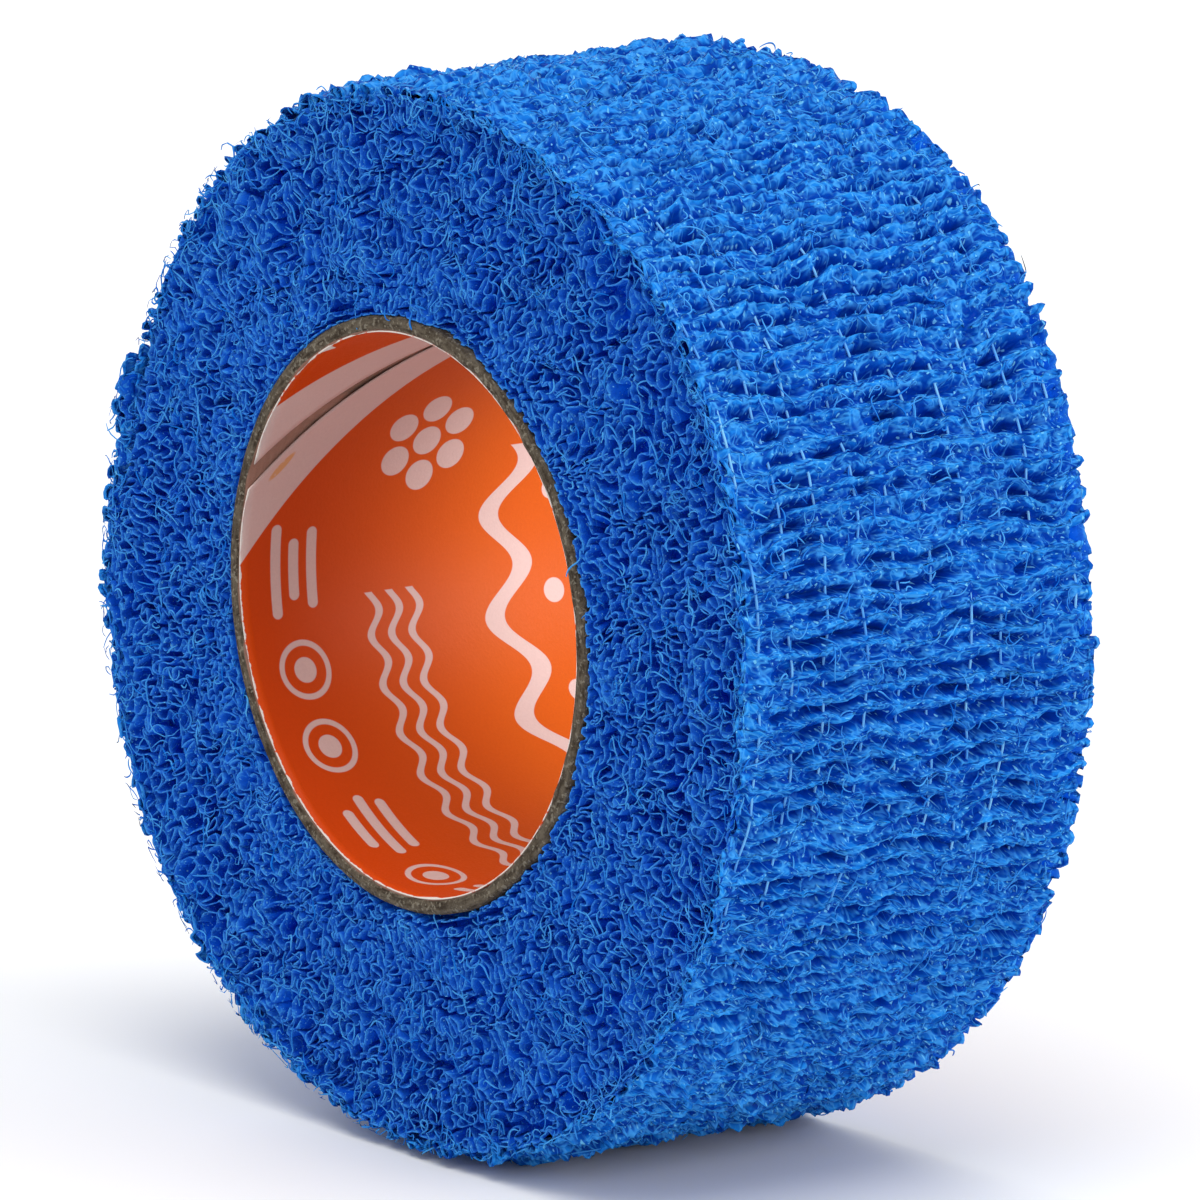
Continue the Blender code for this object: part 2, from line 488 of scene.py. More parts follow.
def rim_look(name):
    """Gathered web seen flat: crinkled film along the ribs, fine fibres, and painted light and
    shade: painted highlights on the crests and crease lines, painted shade in the folds and gaps,
    and painted glints.
    """
    look = Look(name, 0.45, specular=0.02)
    depth_shade = look.fact("depth_shade")
    around = look.fact("around")
    where = look.laid_out(around, look.axis("Y") + around * 0.5)
    mottle = look.grain(0.7, 2.0, 0.6, where=where)
    film = look.grain(2.6, 1.5, 0.65, (1.0, 0.38, 1.0), where)
    # Painted highlights along the film's crease lines, painted shade along its folds.
    crease_highlights = look.hairs(2.6, 0.050, (1.0, 0.5, 1.0), where)
    fine = look.hairs(3.4, 0.055, (1.2, 0.34, 1.0), where) * film.above(0.47, 0.10)
    fold_shade = look.hairs(2.6, 0.070, (1.4, 0.20, 1.0), where) * film.below(0.58, 0.12)
    tone = look.blend(mottle.below(0.45, 0.20), RIM_BLUES["web"], RIM_BLUES["shade"])
    tone = look.blend(mottle.above(0.62, 0.10) * 0.2, tone, VIOLET_BLUE)
    # Painted highlight on the crests and edges, where the painted shade is low.
    lit = look.blend((1 - depth_shade) ** 1.6, tone, RIM_BLUES["edge"])
    # Painted shade where the film's bump is low.
    crinkle_shading = look.blend(film.below(0.46, 0.10) * 0.75, lit, RIM_BLUES["shade"])
    crinkle_shading = look.blend(fold_shade * 0.75, crinkle_shading, RIM_BLUES["shade"])
    crinkle_shading = look.blend(fine * 0.45, crinkle_shading, HAIR_AND_HIGHLIGHT_BLUE)
    crinkle_shading = look.blend(crease_highlights * film.above(0.44, 0.12) * 0.7, crinkle_shading, HAIR_AND_HIGHLIGHT_BLUE)
    # Painted shade in the gaps between the ribs.
    deep = look.blend((depth_shade - 0.50).most(0.0) * 2.0, crinkle_shading, RIM_BLUES["pit"])
    fibres = look.hairs(0.9, 0.014, None, where) * mottle.above(0.49, 0.08)
    haired = look.blend(fibres * 0.6, deep, HAIR_AND_HIGHLIGHT_BLUE)
    glints = look.grain(6.0, 0.0, 0.5, (1.0, 0.7, 1.0), where).above(0.74, 0.05)
    look.colour(look.blend(glints * 0.65, haired, GLINT_BLUE))
    look.rough(mottle * 0.4 + 0.05)
    look.bump(film + crease_highlights * 0.06 - fold_shade * 0.12, 0.26, 1.0)
    return look.material


def hair_look(name, dark, light):
    """Loose fibres and elastic threads, each a little lighter or darker."""
    look = Look(name, 0.6, specular=0.0)
    tone = look.fact("tone") + look.grain(1.2, 2.0) * 0.4 - 0.2
    look.colour(look.blend(tone.most(0.0).least(1.0), dark, light))
    look.bump(look.grain(9.0, 1.0), 0.01, 0.5)
    return look.material


# --- the turns at the end faces ----------------------------------------------


def face_depth(x, z, side, from_edge, seed):
    """How far the turns stand back from the roll's edge: uneven, with a groove."""
    groove = 0.26 * hump(from_edge - 1.3, 0.6) - 0.30 * hump(from_edge - BUILD, 2.0)
    uneven = 0.30 * noise(x * 0.35, z * 0.35, side * 2.0, seed + 20)
    uneven = uneven + 0.26 * noise(x * 1.1, z * 1.1, side * 2.0, seed + 21)
    return 0.26 + groove + uneven


def crimp_size(turn):
    """Length of one crimp of the strip's edge: short at the core, long at the rim."""
    return CRIMP_AT_CORE + (CRIMP_LENGTH - CRIMP_AT_CORE) * wound_share(turn)


def tucked_in(turn):
    """1 for the last turn, whose crimps lie under the outer wrap, 0 for those below."""
    return ramp(1.0 - turn, 0.0, TUCK_FADE)


def crimp_line(s, turn, side, deep, seed):
    """The crinkled line that the strip's edge follows, s crimps from its start."""
    angle = STEP_ANGLE + turn * TAU
    # The first turns on the core lie flatter in some places than in others.
    slack = wound_share(turn) + 0.05 * noise(3 * np.cos(angle), 3 * np.sin(angle), side, seed + 7)
    loose = 0.35 + 0.65 * ramp(slack, 0.01, 0.11)
    wander = 0.40 * noise(s * 0.31, 0, side, seed) + 0.10 * noise(s * 0.83, 0, side, seed + 1)
    phase = TAU * (s + wander)
    height = wound_pitch(turn) * (0.47 + 0.30 * noise(s * 0.47, 3, side, seed + 2))
    loop = crimp_size(turn) * (0.12 + 0.12 * noise(s * 0.6, 5, side, seed + 3))
    out = height * loose * np.sin(phase) - 0.12 * wound_pitch(turn)
    tucked = tucked_in(turn)
    out = out * (1 - 0.25 * tucked) - 0.22 * tucked
    along = -loop * np.sin(2 * phase)
    for rate, size, key in ((2.2, 0.12, 4), (4.3, 0.05, 8)):
        out = out + size * noise(s * rate, 1, side + deep * 0.3, seed + key)
        along = along + size * noise(s * rate, 8, side + deep * 0.3, seed + key)
    x, z = wound_point(turn, side * HALF, out, along)
    for scale, size, key in ((0.50, 0.62, 5), (1.0, 0.32, 6)):
        across = noise(x * scale, z * scale, deep * 0.45 + side, seed + key)
        up = noise(x * scale, z * scale, deep * 0.45 + side, seed + key + 9)
        x = x + size * loose * across
        z = z + size * loose * up
    # No crimp reaches through the outer wrap, over the core or under the floor.
    wrap = outline(angle, side * HALF) - OUTER_PITCH * (turn % 1) + flap_rise(turn % 1)
    wrap = wrap - CRIMP_CLEARANCE + TUCK_LIFT * tucked - WALL_LEAN * deep / WALL_DEPTH
    radius = np.hypot(x - OFF_CENTRE[0], z - OFF_CENTRE[1])
    inside = np.minimum(radius, wrap) / radius
    x = OFF_CENTRE[0] + (x - OFF_CENTRE[0]) * inside
    z = OFF_CENTRE[1] + (z - OFF_CENTRE[1]) * inside
    radius = np.hypot(x, z)
    outside = np.maximum(radius, CORE_RADIUS + 0.08) / radius
    return x * outside, np.maximum(z * outside, -CORE_Z + 0.05)


def fray(s, side, seed):
    """Small ups and downs along the thin edge of the strip."""
    return 0.20 * noise(s * 2.3, 2, side, seed + 22) + 0.09 * noise(s * 7.0, 4, side, seed + 23)


def even_steps(side, first, last, step, seed):
    """Places evenly spread along the crinkled line: crimps and turns at each."""
    crimps = (last - first) * TAU * (CORE_RADIUS + 8.0) / CRIMP_LENGTH
    turns = np.linspace(first, last, int(crimps * CRIMP_SAMPLES) + 1)
    radius = CORE_RADIUS + wound_share(turns) * (OUTER_RADIUS - CORE_RADIUS)
    hop = (radius[1:] + radius[:-1]) / 2 * (turns[1] - turns[0]) * TAU
    hop = hop / crimp_size((turns[1:] + turns[:-1]) / 2)
    s = first * 1000 + np.concatenate([[0], np.cumsum(hop)])
    x, z = crimp_line(s, turns, side, 0.0, seed)
    run = np.concatenate([[0], np.cumsum(np.hypot(np.diff(x), np.diff(z)))])
    even = np.linspace(0, run[-1], int(run[-1] / step) + 1)
    return np.interp(even, run, s), np.interp(even, run, turns)


def crimped_turns(side, first, last, step):
    """Edges of the crinkled strip from one turn to another, standing at an end face.

    The strip's wall is folded over its thin edge: down one side, up the other.
    """
    seed = FRONT_SEED if side < 0 else BACK_SEED
    crimps, turns = even_steps(side, first, last, step, seed)
    columns = len(turns) - 1

    def place(i, j):
        deep = pick((WALL_DEPTH, 0.0, 0.0, WALL_DEPTH), j)
        off = pick((-side, -side, side, side), j) * WALL / 2
        ahead = np.minimum(i + 1, columns)
        s = pick(crimps, i)
        turn = pick(turns, i)
        x, z = crimp_line(s, turn, side, deep, seed)
        x_ahead, z_ahead = crimp_line(pick(crimps, ahead), pick(turns, ahead), side, deep, seed)
        span = np.hypot(x_ahead - x, z_ahead - z) + 0.001
        from_edge = (1 - wound_share(turn)) * BUILD
        level = 1 - 0.75 * tucked_in(turn)
        back = face_depth(x, z, side, from_edge, seed) * level + fray(s, side, seed)
        y = side * (HALF - np.maximum(back, -0.1) - deep)
        x, z = x - off * (z_ahead - z) / span, z + off * (x_ahead - x) / span
        return (x, y, z), {"depth_shade": deep / WALL_DEPTH}

    return columns, 3, place


def add_turns(look):
    """Both end faces, each in two parts. The front one is made finer."""
    spans = ((FIRST_TURN, MIDDLE_TURN), (MIDDLE_TURN, TURNS - 0.02))
    for word, side, step in (("front", -1, FRONT_STEP), ("back", 1, BACK_STEP)):
        for part, (first, last) in enumerate(spans, 1):
            columns, rows, place = crimped_turns(side, first, last, step)
            mesh = grid_mesh(f"{word}_turns_{part}", columns, rows, place)
            make_piece(f"{word}_turns_{part}", mesh, look)


# --- the outer wrap ----------------------------------------------------------


def rim_ring(turn):
    """Place on a circle, so that noise closes round the roll."""
    circle = STEP_ANGLE + turn * TAU
    return 5.0 * np.cos(circle), 5.0 * np.sin(circle)


def on_top(turn):
    """1 on top of the roll, 0 on its sides and below."""
    return ramp(np.sin(STEP_ANGLE + turn * TAU), 0.45, 0.85)


def lumps(turn, y):
    """Slow swells of the rim that wrap, threads and fibres share."""
    ring_x, ring_z = rim_ring(turn)
    slow = 0.30 * noise(ring_x * 1.1, y * 0.25, ring_z * 1.1, 69)
    return slow + 0.20 * noise(ring_x * 3.1, y * 0.85, ring_z * 3.1, 56)


def wrap_surface(turn, y):
    """The gathered outer wrap: shift out and along of a point, and how much painted shade it
    gets, which follows how deep it lies: dark in the gaps, light on the crests and folds.
    """
    rib = turn * RIBS
    crest_no = np.floor(rib)
    from_crest = rib - crest_no - 0.5
    gap_no = np.rint(rib)
    from_gap = rib - gap_no
    ring_x, ring_z = rim_ring(turn)
    # Threads pinch the web; between them it bulges and opens.
    bulge = np.abs(np.cos(math.pi * y / THREAD_PITCH)) ** 0.7
    own = noise(crest_no, y * 0.5, 1, 61)
    other = noise(crest_no, y * 0.85, 7, 62)
    crest = hump(from_crest - 0.10 * own, 0.19 + 0.07 * other)
    slit = 0.40 + 1.10 * noise(gap_no, y * 0.62, 2, 60)
    slit = slit + 0.35 * noise(ring_x * 2, y * 0.3, ring_z * 2, 59)
    # The web is looser on top of the roll: its gaps open there.
    slit = slit + 0.25 * on_top(turn)
    slit = np.clip(slit, 0.0, 1.0)
    gap = hump(from_gap, 0.12 + 0.03 * other)
    drop = slit * (0.25 + 0.75 * bulge) * 1.25 + 0.08
    drop = drop * (1 - 0.7 * ramp(np.abs(y), HALF - 3.2, HALF - 1.6))
    # A thinner fold wanders between two ribs and joins one or the other.
    wander = 0.42 * noise(crest_no, y * 0.33, 5, 58)
    fold = hump(from_crest - wander, 0.085) * (np.abs(noise(crest_no, y * 0.4, 9, 57)) > 0.2)
    film = 0.27 + 0.16 * noise(ring_x * 4, y * 0.8, ring_z * 4, 63)
    out = -film + (0.26 + 0.24 * own + 0.12 * bulge) * crest + 0.16 * fold - drop * gap
    along = 0.14 * crest - 0.10 * np.sin(TAU * from_crest)
    along = along + 0.62 * noise(ring_x * 1.5, y * 0.30, ring_z * 1.5, 64)
    along = along + 0.30 * noise(ring_x * 4.0, y * 0.75, ring_z * 4.0, 65)
    crease = noise(rib * 2.3, y * 2.0, 0, 66)
    out = out + 0.20 * (1 - 2 * np.abs(crease)) * (1 - 0.5 * gap)
    out = out + 0.14 * noise(rib * 4.5, y * 3.1, 0, 67) + lumps(turn, y)
    along = along + 0.11 * noise(rib * 3.0, y * 2.9, 3, 68)
    # Painted shade: dark in the gaps and open slits, light on the crests, folds and crease
    # ridges.
    shade = 0.56 - 0.46 * crest - 0.28 * fold + gap * (0.22 + 0.72 * drop)
    shade = shade - 0.35 * (0.5 - np.abs(crease))
    return out, along, np.clip(shade, 0, 1)


def wrap_point(turn, y, lift=0.0):
    """A point of the outer wrap and its attributes.

    The strip's edges are crimped like the turns below, and fray into teeth.
    """
    out, along, shade = wrap_surface(turn, y)
    # Near its edges the web doesn't sink as deep as the turns below.
    near_edge = ramp(np.abs(y), HALF - 3.4, HALF - 2.2)
    out = np.maximum(out, (FREE_SINK - EDGE_SINK) * near_edge - FREE_SINK)
    side = np.where(y < 0, -1.0, 1.0)
    edge = ramp(np.abs(y), HALF - 1.3, HALF)
    rib = turn * RIBS
    swing = TAU * (rib + 0.35 * noise(rib * 0.37, side, 0, 74))
    # Its crimps are rounded at the front edge and more pointed at the back.
    peak = 1 - 2 * np.abs(np.sin(swing / 2 - math.pi / 4))
    pointed = np.where(side > 0, 0.85, 0.35)
    crimp = 0.46 * (np.sin(swing) * (1 - pointed) + peak * pointed)
    crimp = crimp * (0.8 + 0.65 * noise(rib * 0.6, side, 3, 75)) - 0.22
    crimp = crimp + 0.27 * noise(rib * 2.1, side, 4, 73) + 0.15 * noise(rib * 4.7, side, 4, 77)
    out = out * (1 - 0.75 * edge) + crimp * edge
    along = along - 0.26 * edge * np.sin(2 * swing) * (1 - 0.7 * pointed)
    tooth = 0.30 * noise(rib * 1.1, side * 3, 0, 71) + 0.26 * noise(rib * 3.3, side * 3, 0, 72)
    tooth = tooth + 0.12
    x, z = wound_point(turn, y, out + lift, along)
    # Towards the edges the painted shade gives way to painted light.
    facts = {"depth_shade": shade * (1 - 0.8 * edge), "around": turn * WRAP_LENGTH}
    return (x, y - side * tooth * edge, z), facts


def outer_wrap(look):
    """The last turn in two halves, each a single sheet."""
    made = []
    half = RIBS // 2
    for number, (first, last) in enumerate(((0, half), (half, RIBS + TUCK_RIBS)), 1):

        def place(i, j, first=first):
            return wrap_point((first + i / RIB_STEPS) / RIBS, -HALF + WIDTH * j / WRAP_ROWS)

        columns = (last - first) * RIB_STEPS
        mesh = grid_mesh(f"outer_wrap_{number}", columns, WRAP_ROWS, place)
        made.append(make_piece(f"outer_wrap_{number}", mesh, look))
    return made


def wrap_edges(look):
    """The thickness of the web where the last turn ends at the two corners."""
    for side, word in ((-1, "front"), (1, "back")):

        def place(i, j, side=side):
            point, facts = wrap_point(i / RIB_STEPS / RIBS, side * (HALF - 0.28 * j), 0.03)
            # The cut edge gets the painted highlight colour, with next to no painted shade.
            return point, {"depth_shade": 0.06 * j, "around": facts["around"]}

        mesh = grid_mesh(f"{word}_wrap_edge", (RIBS + TUCK_RIBS) * RIB_STEPS, 1, place)
        thicken(make_piece(f"{word}_wrap_edge", mesh, look), WALL)


def wound_body(look):
    """The dark mass of turns behind the crinkled edges."""
    columns = 240
    # Its section: share of the way out to the rim, and of the way to each end.
    shares = (0.0, 0.5, 0.925, 0.87, 0.87, 0.925, 0.5, 0.0, 0.0)
    ends = (-1.0, -1.0, -1.0, -0.8, 0.8, 1.0, 1.0, 1.0, -1.0)

    def place(i, j):
        turn = (i % columns) / columns
        angle = STEP_ANGLE + TAU * turn
        share = pick(shares, j)
        y = pick(ends, j) * (HALF - WALL_DEPTH)
        reach = outline(angle, y) - turn * STEP_RISE
        radius = CORE_RADIUS + 0.1 + share * (reach - CORE_RADIUS)
        x = radius * np.cos(angle) + share * OFF_CENTRE[0]
        z = np.maximum(radius * np.sin(angle) + share * OFF_CENTRE[1], -CORE_Z + 0.55)
        # Painted light: the mass takes the brighter blue painted deep in the pits.
        return (x, y, z), {"depth_shade": np.ones_like(x)}

    mesh = grid_mesh("wound_body", columns, len(shares) - 1, place, weld=True)
    return make_piece("wound_body", mesh, look)


# --- threads and fibres ------------------------------------------------------


def elastic_threads(look):
    """Fine elastic threads that run round under the ribs and show between them."""
    steps = RIBS * 2
    sides = 4
    thick = 0.095

    def place(i, j):
        line = np.floor(i / (steps + 1))
        turn = FIRST_TURN + (i - line * (steps + 1)) / steps * 0.999
        y = (line - (THREADS - 1) / 2) * THREAD_PITCH
        y = y + 0.22 * noise(turn * 55, line * 3.1, 0, 81)
        rise = lumps(turn, y) - 0.33 + 0.26 * noise(turn * RIBS * 0.45, line, 2, 82)
        rise = rise + 0.10 * (line == 0) - 0.018 * line
        # The loose web on top of the roll hides the threads, and so does that below.
        below = ramp(-np.sin(STEP_ANGLE + turn * TAU), 0.15, 0.60)
        rise = rise - 0.26 * on_top(turn) - 0.34 * below
        around = TAU * (j % sides) / sides
        x, z = wound_point(turn, y, rise + thick * np.cos(around))
        tone = 0.6 + 0.4 * noise(turn * 60, line * 2.7, 5, 84)
        return (x, y + thick * np.sin(around), z), {"tone": tone}

    lines = THREADS * (steps + 1)
    mesh = grid_mesh(
        "elastic_threads", lines - 1, sides, place, weld=True, drop_every=steps + 1
    )
    return make_piece("elastic_threads", mesh, look)


def curled_fibres(name, count, steps, seed, lean, put):
    """Many short curled fibres; put(spots, u, v, rise) lays them on a surface.

    spots are each fibre's own random values, u and v its run over the surface.
    lean is the share of fibres that start off along u, within about 25 degrees.
    """
    sides = 3
    fibre = np.arange(count, dtype=float).reshape(-1, 1)
    share = np.linspace(0.0, 1.0, steps + 1).reshape(1, -1)
    chance = [lattice(fibre, fibre * 0 + key, fibre * 0, seed) for key in range(10)]
    aligned = chance[0] < 2 * lean - 1
    heading = np.where(aligned, 0.45 * chance[1], math.pi * chance[1])
    heading = heading + np.where(chance[2] > 0, 0.0, math.pi)
    length = 1.25 + 0.70 * chance[3] + 2.0 * np.maximum(chance[4] - 0.80, 0) / 0.20
    curl = 2.0 * chance[5] + 3.4 * chance[6] * ramp(share, 0.35, 1.0)
    bend = heading + curl * share
    u = np.cumsum(np.cos(bend), 1) * length / steps
    v = np.cumsum(np.sin(bend), 1) * length / steps
    # Some fibres arch from end to end, others stand off at one end.
    arch = np.sin(math.pi * share) * (0.16 + 0.12 * chance[7])
    free = share**2 * (0.30 + 0.26 * chance[7])
    rise = np.where(chance[8] > 0.1, free, arch) + 0.02
    width = (0.058 + 0.014 * chance[9]) * np.sin(math.pi * (0.06 + 0.88 * share)) ** 0.4

    def place(i, j):
        number = np.floor(i / (steps + 1)).astype(int)
        step = (i - number * (steps + 1)).astype(int)
        around = TAU * (j % sides) / sides
        sideways = width[number, step] * np.sin(around)
        at_u = u[number, step] - sideways * np.sin(bend[number, step])
        at_v = v[number, step] + sideways * np.cos(bend[number, step])
        at_rise = rise[number, step] + width[number, step] * np.cos(around)
        spots = [lattice(number, number * 0 + key, number * 0, seed + 1) for key in range(3)]
        return put(spots, at_u, at_v, at_rise), {"tone": 0.5 + 0.5 * spots[2]}

    lines = count * (steps + 1)
    return grid_mesh(name, lines - 1, sides, place, weld=True, drop_every=steps + 1)


def rim_fibres(look):
    """Fibre ends that stand off the wrap, most of them running round the roll."""

    def put(spots, u, v, rise):
        turn = 0.5 + 0.494 * spots[0]
        y = spots[1] * (HALF - 0.2) + v
        y = np.clip(y, -HALF - 0.3, HALF + 0.3)
        x, z = wound_point(turn, y, lumps(turn, y) - 0.12 + rise, u)
        return x, y, z

    mesh = curled_fibres("rim_fibres", count=2300, steps=8, seed=91, lean=0.36, put=put)
    return make_piece("rim_fibres", mesh, look)


def face_fibres(look):
    """Short fibres that lie over the crinkled edges of the front face."""

    def put(spots, u, v, rise):
        share = 0.5 + 0.5 * spots[1]
        turn = TURNS * (1 - np.sqrt(0.18 + 0.80 * share)) * 1.6
        x, z = wound_point(turn + (0.5 + 0.5 * spots[0]), -HALF)
        x = x + u
        z = z + v
        from_edge = (1 - wound_share(turn + 0.5)) * BUILD
        y = -HALF + face_depth(x, z, -1, from_edge, FRONT_SEED) - rise
        return x, y, z

    mesh = curled_fibres("face_fibres", count=1300, steps=6, seed=95, lean=0.0, put=put)
    return make_piece("face_fibres", mesh, look)


def lip_fibres(look):
    """Short loops over the front lip, where the last turn meets the end face."""

    def put(spots, u, v, rise):
        turn = 0.5 + 0.494 * spots[0]
        inwards = np.minimum(0.40 * spots[1] - 0.45 + v, 0.15)
        x, z = wound_point(turn, -HALF, inwards, u)
        return x, 0.08 - HALF - 0.6 * rise, z

    mesh = curled_fibres("lip_fibres", count=720, steps=5, seed=97, lean=0.30, put=put)
    return make_piece("lip_fibres", mesh, look)


# --- core and lining ---------------------------------------------------------

BOARD = (0.132, 0.108, 0.078)
BOARD_DARK = (0.040, 0.028, 0.018)
BOARD_PALE = (0.30, 0.27, 0.21)
BOARD_INSIDE = (0.33, 0.180, 0.135)
# The darker orange is painted shade for the mouth end; the pale paper is tinted pinkish with
# painted orange light bounced from the bore.
ORANGE = (0.50, 0.082, 0.004)
ORANGE_SHADED_MOUTH = (0.50, 0.048, 0.002)
PALE_IN_ORANGE_LIGHT = (0.55, 0.40, 0.375)
TORN_PAPER = (0.54, 0.49, 0.46)
SMUDGE = (0.52, 0.25, 0.070)


def board_look(name):
    """Raw grey-brown board: fibrous at its cut ends, redder inside the bore."""
    look = Look(name, 0.9, specular=0.2)
    radius, angle = look.turned()
    arc = angle * CORE_BORE
    fibre = look.grain(1.6, 3.0, 0.8)
    layers = look.grain(3.4, 2.0, 0.7, (0.16, 1.0, 1.0), look.laid_out(arc, radius))
    streak = look.grain(2.4, 3.0, 0.7, (0.25, 1.0, 1.0), look.laid_out(arc, look.axis("Y")))
    cut = look.blend((fibre + layers).above(0.98, 0.34), BOARD_DARK, BOARD)
    cut = look.blend(look.grain(4.0, 1.0).above(0.62, 0.06) * 0.5, cut, BOARD_PALE)
    inside = look.blend(streak, tuple(c * 0.6 for c in BOARD_INSIDE), BOARD_INSIDE)
    in_bore = radius.below(CORE_BORE + 0.06, 0.05)
    look.colour(look.blend(in_bore, cut, inside))
    look.bump(fibre + layers * 1.2 + streak * 0.5, 0.14, 1.0)
    return look.material


class Printing:
    """Soft-edged marks on the lining, laid out by degrees round it and y."""

    EDGE = 0.06

    def __init__(self, look):
        self.u = look.turned()[1] * LINING_RADIUS
        self.v = look.axis("Y")
        self.marks = None

    def add(self, mark):
        self.marks = mark if self.marks is None else self.marks.most(mark)

    def apart(self, degrees, y):
        return self.u - math.radians(degrees) * LINING_RADIUS, self.v - y

    def ring(self, degrees, y, radius, width):
        across, up = self.apart(degrees, y)
        away = (across * across + up * up) ** 0.5
        self.add((away - radius).size().below(width / 2, self.EDGE))

    def dot(self, degrees, y, radius):
        across, up = self.apart(degrees, y)
        self.add(((across * across + up * up) ** 0.5).below(radius, self.EDGE))

    def bar(self, degrees, y, half_length, half_width):
        across, up = self.apart(degrees, y)
        past = (across.size() - half_length).most(0.0)
        self.add(((past * past + up * up) ** 0.5).below(half_width, self.EDGE))

    def waves(self, first, last, y, height, period, width):
        middle = (first + last) / 2
        across, up = self.apart(middle, y)
        line = up - (across * (TAU / period)).combine("SINE") * height
        reach = math.radians(last - first) / 2 * LINING_RADIUS
        past = across.size() - reach
        self.add((line.size() - width / 2).most(past).below(0.0, self.EDGE))


def lining_look(name):
    """Orange printed paper with pale marks, unprinted margins and a torn white edge, with painted
    shade towards the mouth and painted orange light on the pale paper.
    """
    look = Look(name, 0.45, specular=0.09)
    prints = Printing(look)
    for degrees, y, half_length in (
        (181, -9.9, 2.5), (181, -8.6, 1.5), (181, -7.3, 2.1),
        (241, -9.9, 1.4), (241, -8.6, 2.4), (241, -7.3, 1.9),
        (280, -9.2, 2.0), (280, -7.8, 2.0),
        (318, -9.4, 2.4), (318, -8.1, 1.6), (20, -9.4, 1.7), (20, -8.1, 2.3),
    ):
        prints.bar(degrees, y, half_length, 0.36)
    # Rings with one big dot, and a cluster of seven dots.
    for degrees in (202, 219, 262, 299, 338, 356):
        prints.ring(degrees, -8.6, 1.65, 0.36)
        prints.dot(degrees, -8.6, 0.78)
    for middle, height in ((156, 0.2), (316, 5.6)):
        for turn in range(0, 360, 60):
            across = 2.35 * math.cos(math.radians(turn))
            up = 2.35 * math.sin(math.radians(turn))
            prints.dot(middle + math.degrees(across / LINING_RADIUS), up + height, 0.98)
        prints.dot(middle, height, 0.98)
    for y in (-3.0, -1.5, 0.0):
        prints.waves(188, 276, y, 0.42, 3.1, 0.54)
        prints.waves(296, 356, y, 0.42, 3.1, 0.54)
    prints.waves(160, 290, 7.0, 1.25, 6.4, 1.45)
    for degrees in range(171, 290, 22):
        prints.dot(degrees, 10.4, 0.75)
    arc = look.fact("arc")
    rest = look.fact("rest")
    margin = arc.below(4.8, 0.06).most(rest.below(4.3, 0.06))
    speckle = look.grain(6.0, 2.0, 0.6)
    # Painted shade: the orange is painted darker and redder towards the mouth and lighter towards
    # the far end.
    ink_and_painted_shade = look.blend(prints.v.above(-3.0, 16.0), ORANGE_SHADED_MOUTH, ORANGE)
    ink_and_painted_shade = look.blend(speckle * 0.2, ink_and_painted_shade, tuple(c * 0.4 for c in ORANGE_SHADED_MOUTH))
    # The pale paper is painted pinkish-grey: painted orange light, as bounced from the bore.
    paper = look.blend(speckle, tuple(c * 0.88 for c in PALE_IN_ORANGE_LIGHT), PALE_IN_ORANGE_LIGHT)
    printed = look.blend(margin.most(prints.marks), ink_and_painted_shade, paper)
    # A faint smear of glue beside the slit.
    smear_u, smear_v = prints.apart(157.5, -10.3)
    smear_u = (smear_u + smear_v * 1.1) / 0.42
    smear_v = smear_v / 0.72
    smear = smear_u * smear_u + smear_v * smear_v
    smear = smear.below(1.0, 0.5) * look.grain(1.6, 2.0).above(0.36, 0.12)
    printed = look.blend(smear * 0.8, printed, SMUDGE)
    # The mouth end is torn: a thin white line with a nick and a few pulled bits.
    ragged = look.grain(1.4, 3.0, 0.6, (1.0, 0.0, 1.0)) * 0.5
    torn = (look.axis("Y") - ragged).below(LINING_FRONT - 0.20, 0.05)
    for degrees, wide, high in ((118.0, 0.6, 0.75), (278.0, 1.3, 0.55), (284.0, 0.7, 0.8)):
        nick_u, nick_v = prints.apart(degrees, LINING_FRONT)
        torn = torn.most((nick_u.size() / wide + nick_v / high).below(1.0, 0.15))
    look.colour(look.blend(torn, printed, TORN_PAPER))
    look.rough(speckle * 0.2 + torn * 0.3 + 0.36)
    look.bump(speckle + look.grain(0.5, 2.0) * 2.0, 0.02, 0.6)
    return look.material


def cardboard_core(look):
    """A tube of raw board with softened, slightly fibrous ends."""
    columns = 240
    corner = (
        (CORE_RADIUS, -12.35),
        (CORE_RADIUS, 12.35),
        (CORE_RADIUS - 0.1, 12.5),
        (CORE_BORE + 0.1, 12.5),
        (CORE_BORE, 12.38),
        (CORE_BORE, -12.42),
        (CORE_BORE + 0.10, -12.56),
        (CORE_BORE + 0.35, -12.64),
        (CORE_RADIUS - 0.22, -12.60),
        (CORE_RADIUS - 0.05, -12.48),
        (CORE_RADIUS, -12.35),
    )
    radii, ends = zip(*corner)

    def place(i, j):
        angle = TAU * (i % columns) / columns
        y = pick(ends, j)
        radius = pick(radii, j)
        ragged = 0.07 * noise(angle * 14, radius * 2, 0, 31) * (np.abs(y) > 12.36)
        x = (radius + ragged) * np.cos(angle)
        z = (radius + ragged) * np.sin(angle)
        return (x, y + ragged, z), {}

    mesh = grid_mesh("cardboard_core", columns, len(corner) - 1, place, weld=True)
    piece = make_piece("cardboard_core", mesh, look)
    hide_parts("core_tube")


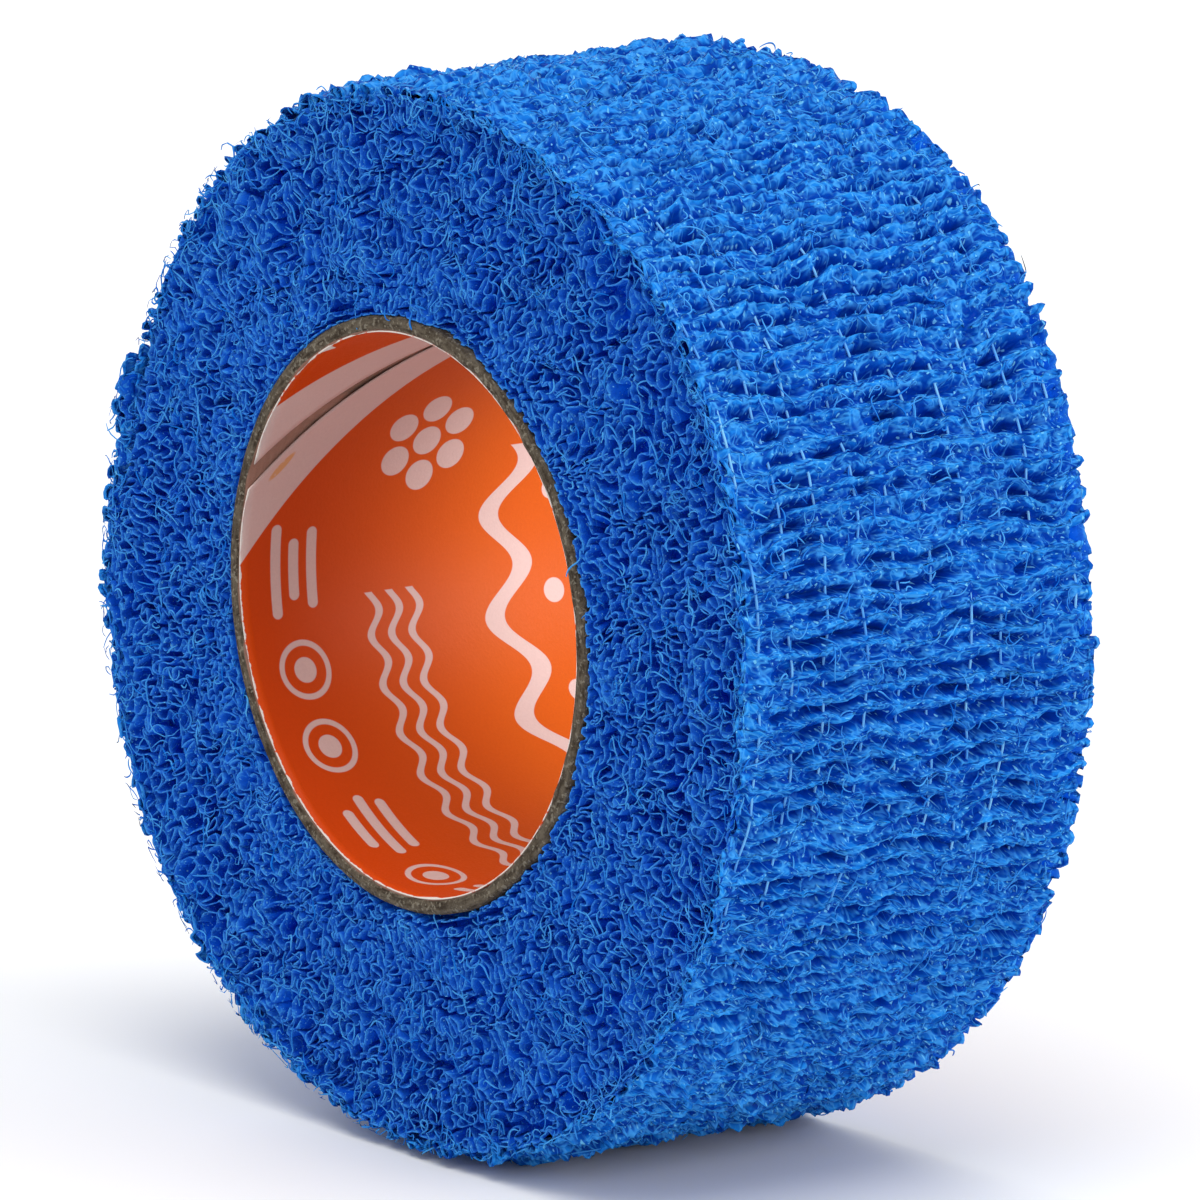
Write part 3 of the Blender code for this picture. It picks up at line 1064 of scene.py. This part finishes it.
def printed_lining(look):
    """A paper strip wound spirally inside the core, its edges a little apart."""
    columns = 180
    rows = 36

    def place(i, j):
        share = i / columns
        along = j / rows
        slit = SEAM_WIDE + (SEAM_NARROW - SEAM_WIDE) * ramp(along, 0.0, 0.45)
        slit = slit + 0.006 * noise(along * 22, 0, 0, 33)
        start = SEAM_FRONT_ANGLE + SEAM_TURN * along + slit / 2
        angle = start + (TAU - slit) * share
        lift = 0.13 * hump(np.minimum(share, 1 - share), 0.012)
        radius = LINING_RADIUS - lift
        arc = share * (TAU - slit) * LINING_RADIUS
        facts = {"arc": arc, "rest": (TAU - slit) * LINING_RADIUS - arc}
        y = LINING_FRONT + LINING_LENGTH * along
        return (radius * np.cos(angle), y, radius * np.sin(angle)), facts

    mesh = grid_mesh("printed_lining", columns, rows, place)
    piece = thicken(make_piece("printed_lining", mesh, look), 0.08)
    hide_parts("liner")


# --- build -------------------------------------------------------------------

face_web = face_look("blue_face_web")
rim_web = rim_look("blue_rim_web")
hair = hair_look("blue_fibre", *FIBRE_BLUES)

add_turns(face_web)
body = wound_body(face_web)
wraps = outer_wrap(rim_web)
wrap_edges(rim_web)
threads = elastic_threads(hair_look("pale_thread", *THREAD_BLUES))
fibres = rim_fibres(hair)
face_fibres(hair)
lip_fibres(hair)
cardboard_core(board_look("grey_board"))
printed_lining(lining_look("orange_paper"))
for wrap in wraps:
    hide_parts("bandage")


# --- floor, light, camera ----------------------------------------------------


def studio():
    """A plain pale floor under soft light. Two of the lamps light the lining alone."""
    bpy.ops.mesh.primitive_plane_add(size=6.0, location=(0, 0, -0.0002))
    floor = bpy.context.object
    floor.name = "floor"
    pale = bpy.data.materials.new("pale_floor")
    pale.use_nodes = True
    shader = pale.node_tree.nodes["Principled BSDF"]
    shader.inputs["Base Color"].default_value = (0.93, 0.93, 0.93, 1.0)
    shader.inputs["Roughness"].default_value = 1.0
    shader.inputs["Specular IOR Level"].default_value = 0.0
    floor.data.materials.append(pale)

    world = bpy.data.worlds.new("soft_white")
    world.use_nodes = True
    world.node_tree.nodes["Background"].inputs["Color"].default_value = (1, 1, 1, 1)
    world.node_tree.nodes["Background"].inputs["Strength"].default_value = 0.62
    bpy.context.scene.world = world
    bpy.context.scene.view_settings.view_transform = "Standard"

    for name, spot, strength, spread, lining_only in (
        ("overhead", (0.35, -0.30, 1.2), 1.32, 40.0, False),
        ("side", (1.0, 0.42, 0.40), 1.05, 35.0, False),
        ("far_side", (-1.0, 0.30, 0.50), 0.8, 35.0, False),
        ("through_the_core", (0.95, 0.36, 0.20), 3.6, 30.0, True),
        ("into_the_mouth", (-0.25, -0.90, 0.62), 2.1, 30.0, True),
    ):
        light = bpy.data.lights.new(name, "SUN")
        light.energy = strength
        light.angle = math.radians(spread)
        lamp = bpy.data.objects.new(name, light)
        lamp.rotation_euler = (-Vector(spot)).to_track_quat("-Z", "Y").to_euler()
        lamp.location = spot
        bpy.context.scene.collection.objects.link(lamp)
        if lining_only:
            lit = bpy.data.collections.new("lit_" + name)
            lit.objects.link(bpy.data.objects["printed_lining"])
            lamp.light_linking.receiver_collection = lit


def photo_camera():
    """The photograph's view: from the right of the end face and a little above."""
    azimuth, elevation = math.radians(53.0), math.radians(11.2)
    distance = 0.679
    pixels_to_lens = 11600.0
    picture = 1200
    back = Vector(
        (
            math.sin(azimuth) * math.cos(elevation),
            -math.cos(azimuth) * math.cos(elevation),
            math.sin(elevation),
        )
    )
    centre = Vector(((CORE_X + OFF_CENTRE[0]) * MM, 0.0, (CORE_Z + OFF_CENTRE[1]) * MM))
    data = bpy.data.cameras.new("photo_camera")
    data.sensor_width = 36.0
    data.lens = pixels_to_lens / picture * data.sensor_width
    data.shift_x = 14.0 / picture
    data.shift_y = -3.0 / picture
    data.clip_start = 0.05
    data.clip_end = 10.0
    camera = bpy.data.objects.new("photo_camera", data)
    camera.location = centre + back * distance
    camera.rotation_mode = "QUATERNION"
    camera.rotation_quaternion = (-back).to_track_quat("-Z", "Y")
    bpy.context.scene.collection.objects.link(camera)
    bpy.context.scene.camera = camera


studio()
photo_camera()
